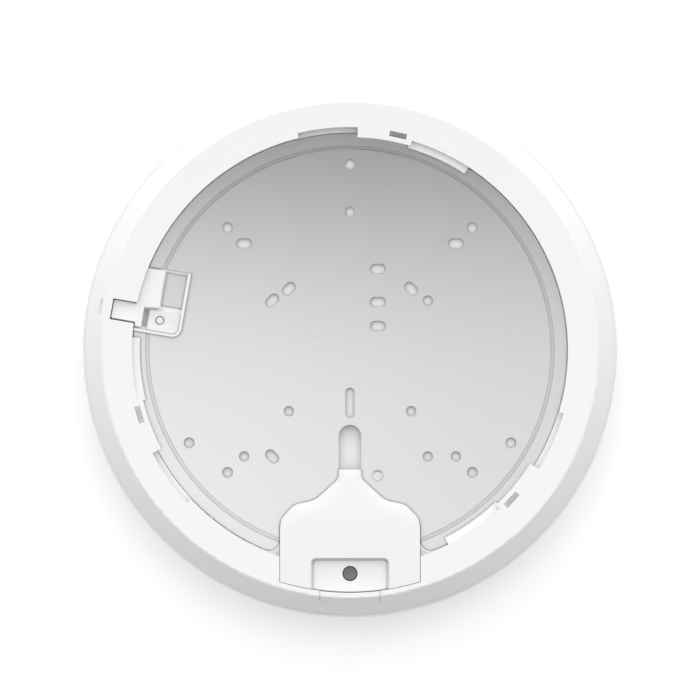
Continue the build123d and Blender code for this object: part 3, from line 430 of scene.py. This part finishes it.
# %% Spin a profile
def spun(name, profile, centre=(0, 0), steps=160):
    """A closed solid turned about a vertical axis; profile is (radius, height) points in millimetres."""
    points = [Vector((centre[0] + radius, centre[1], height)) * MM for radius, height in profile]
    bpy.ops.object.select_all(action="DESELECT")
    bpy.ops.mesh.primitive_plane_add(size=MM, location=(0, 0, 0))
    piece = bpy.context.object
    piece.name = name
    bpy.ops.object.mode_set(mode="EDIT")
    bpy.ops.mesh.select_all(action="SELECT")
    bpy.ops.mesh.merge(type="CENTER")
    bpy.ops.transform.translate(value=points[0])
    for before, after in zip(points, points[1:]):
        bpy.ops.mesh.extrude_region_move(TRANSFORM_OT_translate={"value": after - before})
    bpy.ops.mesh.select_all(action="SELECT")
    bpy.ops.mesh.spin(steps=steps, angle=2 * pi, center=(centre[0] * MM, centre[1] * MM, 0), axis=(0, 0, 1))
    bpy.ops.mesh.select_all(action="SELECT")
    bpy.ops.mesh.remove_doubles(threshold=0.002 * MM)
    bpy.ops.mesh.normals_make_consistent(inside=False)
    bpy.ops.object.mode_set(mode="OBJECT")
    return piece


# %% Dome profile and radome
BODY_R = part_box("radome")[1].x / MM
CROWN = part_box("radome")[0].z / MM
RIM = -15.5
WALL = 2.2
RISE = 4.6
CROWN_SHARE = 0.84              # how much of the radius is crown, before the curve turns down
LEAVE, ARRIVE = 26, 24          # how stiffly the curve leaves the crown and meets the rim


def dome_curve(drop, steps=20):
    """Points of the dome from the light's hole to its rim, moved inwards by drop millimetres."""
    rim_radius, crown = BODY_R - drop, CROWN + drop
    edge = CROWN_SHARE * rim_radius
    points = [(r, crown + RISE * (r / edge) ** 2) for r in (2.0, *[edge * i / 8 for i in range(1, 9)])]
    start, end = Vector((edge, crown + RISE)), Vector((rim_radius, RIM - 4))
    leave, arrive = Vector((1, 2 * RISE / edge)) * LEAVE, Vector((0, 1)) * ARRIVE
    for i in range(1, steps + 1):
        t = i / steps
        point = (start * (2 * t**3 - 3 * t**2 + 1) + leave * (t**3 - 2 * t**2 + t)
                 + end * (3 * t**2 - 2 * t**3) + arrive * (t**3 - t**2))
        points.append((min(point.x, rim_radius), point.y))
    return points


rim_steps = [(BODY_R, RIM - 0.35), (BODY_R - 0.1, RIM - 0.1), (BODY_R - 0.35, RIM), (104.6, RIM), (104.6, RIM + 2.8),
             (104.4, RIM + 3), (103.0, RIM + 3), (103.0, RIM - 3)]
radome = spun("radome_look", dome_curve(0) + rim_steps + dome_curve(WALL)[::-1] + [dome_curve(0)[0]])
hand_over(radome, "radome", FINISHES["dome_plastic"])

# %% [markdown]
# The button and the rivets are turned too. The button's top is dished to take the tip of a pin, and a rivet's head
# is a low dome with a rolled edge.

# %% Reset button and rivets
def centre_of(node):
    low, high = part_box(node)
    return ((low.x + high.x) / 2 / MM, (low.y + high.y) / 2 / MM), low.z / MM, high.z / MM


middle, bottom, top = centre_of("reset_button")
button = spun("reset_button_look", [
    (0, top - 0.7), (0.9, top - 0.6), (1.7, top - 0.25), (2.1, top), (2.4, top), (2.75, top - 0.15), (2.9, top - 0.5),
    (2.9, bottom + 0.2), (2.7, bottom), (0, bottom)], middle, 48)
hand_over(button, "reset_button", FINISHES["grey_rubber"])

middle, bottom, top = centre_of("plate_rivet")
rivet = spun("plate_rivet_look", [
    (0, top), (1.0, top - 0.005), (1.75, top - 0.02), (2.0, top - 0.12), (2.1, top - 0.3), (2.1, top - 0.5),
    (1.5, top - 0.5), (1.5, bottom + 0.1), (1.4, bottom), (0, bottom)], middle, 48)
hand_over(rivet, "plate_rivet", FINISHES["plate_steel"])

middle, bottom, top = centre_of("latch_rivet")
pin = spun("latch_rivet_look", [
    (0, top - 0.08), (0.7, top - 0.06), (1.0, top), (1.15, top - 0.03), (1.3, top - 0.15), (1.35, top - 0.3),
    (1.2, top - 0.32), (1.2, bottom + 0.1), (1.1, bottom), (0, bottom)], middle, 48)
hand_over(pin, "latch_rivet", FINISHES["pad_metal"])

# %% Ring housing, plate, latch, knock-out and detent leaves
soft_copy("rear_housing", 0.3)
soft_copy("back_plate", 0.25)
soft_copy("cable_knockout", 0.2)
soft_copy("latch_lever", 0.3)
soft_copy("latch_pad", 0.25)
soft_copy("latch_tray_sheet", 0.1)

# %% [markdown]
# The latch block stands proud of the plate, and the top edges of its rim that face the middle of the plate are
# well rounded. The tray lies only 0.2 mm from the rim, so there is no room to round every edge as much: bevel
# weights give the other edges about an eighth of it.

# %% Latch block
BLOCK_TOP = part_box("latch_block")[1].z
BLOCK_ROUNDING, OTHER_EDGES = 0.42, 0.12


def block_weight(edge):
    """Full rounding for top edges of the sides that face +X and -Y."""
    middle = (edge.verts[0].co + edge.verts[1].co) / 2
    outer = min(face.normal.y - face.normal.x for face in edge.link_faces) < -0.8
    return 1.0 if abs(middle.z - BLOCK_TOP) < 0.1 * MM and outer else OTHER_EDGES


soft_copy("latch_block", BLOCK_ROUNDING, 4, block_weight)

# %% [markdown]
# ## The port cover, pillowed
#
# The port cover is a bell-shaped lid. Its upper outline rolls down softly to the plate, and lower down it becomes a
# crisp seam where it passes through the ring. A bevel has one radius and stumbles over the lid's sloping throat, so
# the lid is shaped as a sculptor would: its flat top is cut into a fine grid, and each point is lowered by how
# close it lies to the outline and how far up the bell it is. First come the cuts.

# %% Cut the lid's top into a grid
GRID = 1.3                                  # millimetres between cuts
CUTS = {"y": [-50 - GRID * i for i in range(22)], "x": [-27.3 + GRID * i for i in range(43)]}
UNDER_TOP = -2 * MM                         # all of the lid's top lies above this


def on_lid(face):
    return face.normal.z > 0.8 and face.calc_center_median().z > UNDER_TOP


cover = merged_copy("port_cover")
uncut = cover.data.copy()
for axis, places in CUTS.items():
    normal = Vector((axis == "x", axis == "y", 0))
    for spot in places:
        mesh = edit(cover)
        bpy.ops.mesh.select_mode(type="FACE")
        for face in mesh.faces:
            face.select_set(on_lid(face))
        mesh.select_flush_mode()
        bmesh.update_edit_mesh(cover.data)
        bpy.ops.mesh.bisect(plane_co=normal * spot * MM, plane_no=normal)
        bpy.ops.object.mode_set(mode="OBJECT")
print(len(uncut.polygons), "faces before the cuts,", len(cover.data.polygons), "after")

# %% [markdown]
# The outline is found on the lid before its cuts: an edge between a face that looks up and a wall. The seam's lowest
# part, at the ring's outer edge, isn't counted, so the lid stays flat there.

# %% Find the outline
SEAM_LOW = -97 * MM


def outline_of(mesh):
    """Edges between the lid's top and its walls, as pairs of points seen from above."""
    runs = []
    for edge in mesh.edges:
        up = [abs(face.normal.z) for face in edge.link_faces]
        points = [vert.co for vert in edge.verts]
        if len(up) == 2 and max(up) > 0.8 and min(up) < 0.1 and min(p.z for p in points) > UNDER_TOP \
                and min(p.y for p in points) > SEAM_LOW:
            runs.append([p.xy.copy() for p in points])
    return runs


def distance_to(runs, point):
    """Shortest way from a point to any run."""
    nearest = 1.0
    for start, end in runs:
        along = end - start
        share = max(0, min(1, (point - start).dot(along) / max(along.length_squared, 1e-12)))
        nearest = min(nearest, (point - start - along * share).length)
    return nearest


before_cuts = bmesh.new()
before_cuts.from_mesh(uncut)
outline = outline_of(before_cuts)
before_cuts.free()
bpy.data.meshes.remove(uncut)
print(len(outline), "runs of outline")

# %% [markdown]
# Each point of the lid goes down by two amounts: the throat's slope, and a quarter-round pillow near the outline.
# Last, the bell's rim is moved out a little, so that it nearly fills the gap to the plate.

# %% Lower the lid's points and close its gap
THROAT_DROP, PILLOW_DEPTH, PILLOW_REACH = 1.2, 1.3, 5.5
SHOULDER_Y, THROAT_Y = -74, -49             # where the bell's slope starts and ends
PILLOW_FROM, PILLOW_FADE = -80, 10          # the pillow grows from nothing over this length
RIM_OUT = 0.17                              # within the 0.2 mm gap
RIM_FROM_Y, RIM_TO_Y, RIM_HALF_W = -76, -49.5, 28.3


def smooth_step(share):
    share = max(0.0, min(1.0, share))
    return share * share * (3 - 2 * share)


mesh = edit(cover)
lid_points = {vert for face in mesh.faces if on_lid(face) for vert in face.verts}
for vert in lid_points:
    up_the_bell = smooth_step((vert.co.y / MM - PILLOW_FROM) / PILLOW_FADE)
    near_edge = max(0.0, 1 - distance_to(outline, vert.co.xy) / (PILLOW_REACH * MM))
    throat = THROAT_DROP * smooth_step((vert.co.y / MM - SHOULDER_Y) / (THROAT_Y - SHOULDER_Y))
    vert.co.z = -(throat + PILLOW_DEPTH * near_edge ** 2 * up_the_bell) * MM
walls = {face for face in mesh.faces if abs(face.normal.z) < 0.1}
rim = {vert for face in walls for vert in face.verts
       if RIM_FROM_Y * MM < vert.co.y < RIM_TO_Y * MM and abs(vert.co.x) < RIM_HALF_W * MM
       and distance_to(outline, vert.co.xy) < 0.01 * MM}
outwards = {vert: sum((face.normal.copy() for face in vert.link_faces if face in walls), Vector()).xy.normalized()
            for vert in rim}
for vert, direction in outwards.items():
    vert.co.xy += direction * RIM_OUT * MM
bmesh.update_edit_mesh(cover.data)
bpy.ops.object.mode_set(mode="OBJECT")
print(len(lid_points), "points of the lid lowered,", len(rim), "points of its rim moved out")
# The lid takes the darker plastic, whose darkness is painted shade.
hand_over(cover, "port_cover", FINISHES["cover_plastic_painted_shade"], angle=25)

# %% [markdown]
# ## Floor, light and camera
#
# The studio is bright and nearly shadowless. Its sky is strongest overhead and towards +Y, and nearly black low
# down towards -Y, so that the skirt falls from white to grey round the rim. Over the device hangs a card that
# fades from white to grey. Only glossy reflections see it, and it gives the satin plate its slow gradient.

# %% Floor and cards
def stage_plane(name, size, place_at, material):
    """A flat card or floor that isn't part of the device."""
    bpy.ops.object.select_all(action="DESELECT")
    bpy.ops.mesh.primitive_plane_add(size=size, location=place_at)
    card = bpy.context.object
    card.name = name
    card.data.materials.append(material)
    return card


FLOOR_GREY, FLOOR_GLOW, FLOOR_SIZE, FLOOR_BELOW = 0.8, 0.22, 40, 0.0003
CARD_SIZE, CARD_HEIGHT = 0.8, 0.4
FLOOR_MATERIAL = bpy.data.materials.new("studio_floor")
FLOOR_MATERIAL.use_nodes = True
floor_shader = FLOOR_MATERIAL.node_tree.nodes["Principled BSDF"]
floor_shader.inputs["Base Color"].default_value = (FLOOR_GREY, FLOOR_GREY, FLOOR_GREY, 1)
floor_shader.inputs["Roughness"].default_value = 0.7
floor_shader.inputs["Emission Color"].default_value = (1, 1, 1, 1)
floor_shader.inputs["Emission Strength"].default_value = FLOOR_GLOW
stage_plane("studio_floor", FLOOR_SIZE, (0, 0, CAD_BOX[0].z - FLOOR_BELOW), FLOOR_MATERIAL)


def fade_between(tree, value, start, end, low, high):
    """Smooth change from low to high as value goes from start to end."""
    fade = tree.nodes.new("ShaderNodeMapRange")
    fade.interpolation_type = "SMOOTHSTEP"
    for name, number in {"From Min": start, "From Max": end, "To Min": low, "To Max": high}.items():
        fade.inputs[name].default_value = number
    tree.links.new(value, fade.inputs["Value"])
    return fade.outputs["Result"]


def card_material():
    """Emission that fades towards the top and a little towards the right."""
    material = bpy.data.materials.new("fading_card")
    material.use_nodes = True
    tree = material.node_tree
    tree.nodes.clear()
    split = tree.nodes.new("ShaderNodeSeparateXYZ")
    tree.links.new(tree.nodes.new("ShaderNodeTexCoord").outputs["Object"], split.inputs[0])
    up = fade_between(tree, split.outputs["Y"], 0.0, 0.115, 1.0, 0.16)
    across = fade_between(tree, split.outputs["X"], -0.12, 0.12, 1.05, 0.84)
    glow = tree.nodes.new("ShaderNodeEmission")
    tree.links.new(math_node(tree, "MULTIPLY", up, across), glow.inputs["Strength"])
    tree.links.new(glow.outputs[0], tree.nodes.new("ShaderNodeOutputMaterial").inputs["Surface"])
    return material


card = stage_plane("overhead_card", CARD_SIZE, (0, 0, CARD_HEIGHT), card_material())
card.visible_camera = card.visible_diffuse = card.visible_shadow = False

# %% World
SKY_LEAN, SKY_HEIGHT, SKY_LEVEL, SKY_LEAST = 1.05, 1.28, 0.27, 0.02
world = bpy.data.worlds.new("studio")
bpy.context.scene.world = world
world.use_nodes = True
sky = world.node_tree
split = sky.nodes.new("ShaderNodeSeparateXYZ")
sky.links.new(sky.nodes.new("ShaderNodeTexCoord").outputs["Generated"], split.inputs[0])
lean = math_node(sky, "MULTIPLY", split.outputs["Y"], SKY_LEAN)
height = math_node(sky, "MULTIPLY", split.outputs["Z"], SKY_HEIGHT)
whole = math_node(sky, "ADD", math_node(sky, "ADD", lean, height), SKY_LEVEL)
sky.links.new(math_node(sky, "MAXIMUM", whole, SKY_LEAST), sky.nodes["Background"].inputs["Strength"])
sky.nodes["Background"].inputs["Color"].default_value = (1, 1, 1, 1)

# %% Camera
CAMERA_HEIGHT, LENS, SENSOR = 4.762, 600, 36        # metres, then millimetres
bpy.ops.object.camera_add(location=(0, 0, CAMERA_HEIGHT), rotation=(0, 0, 0))
camera = bpy.context.object
camera.data.lens = LENS
camera.data.sensor_width = SENSOR
bpy.context.scene.camera = camera
bpy.context.scene.view_settings.view_transform = "Standard"
print("camera at", [round(v, 3) for v in camera.location])
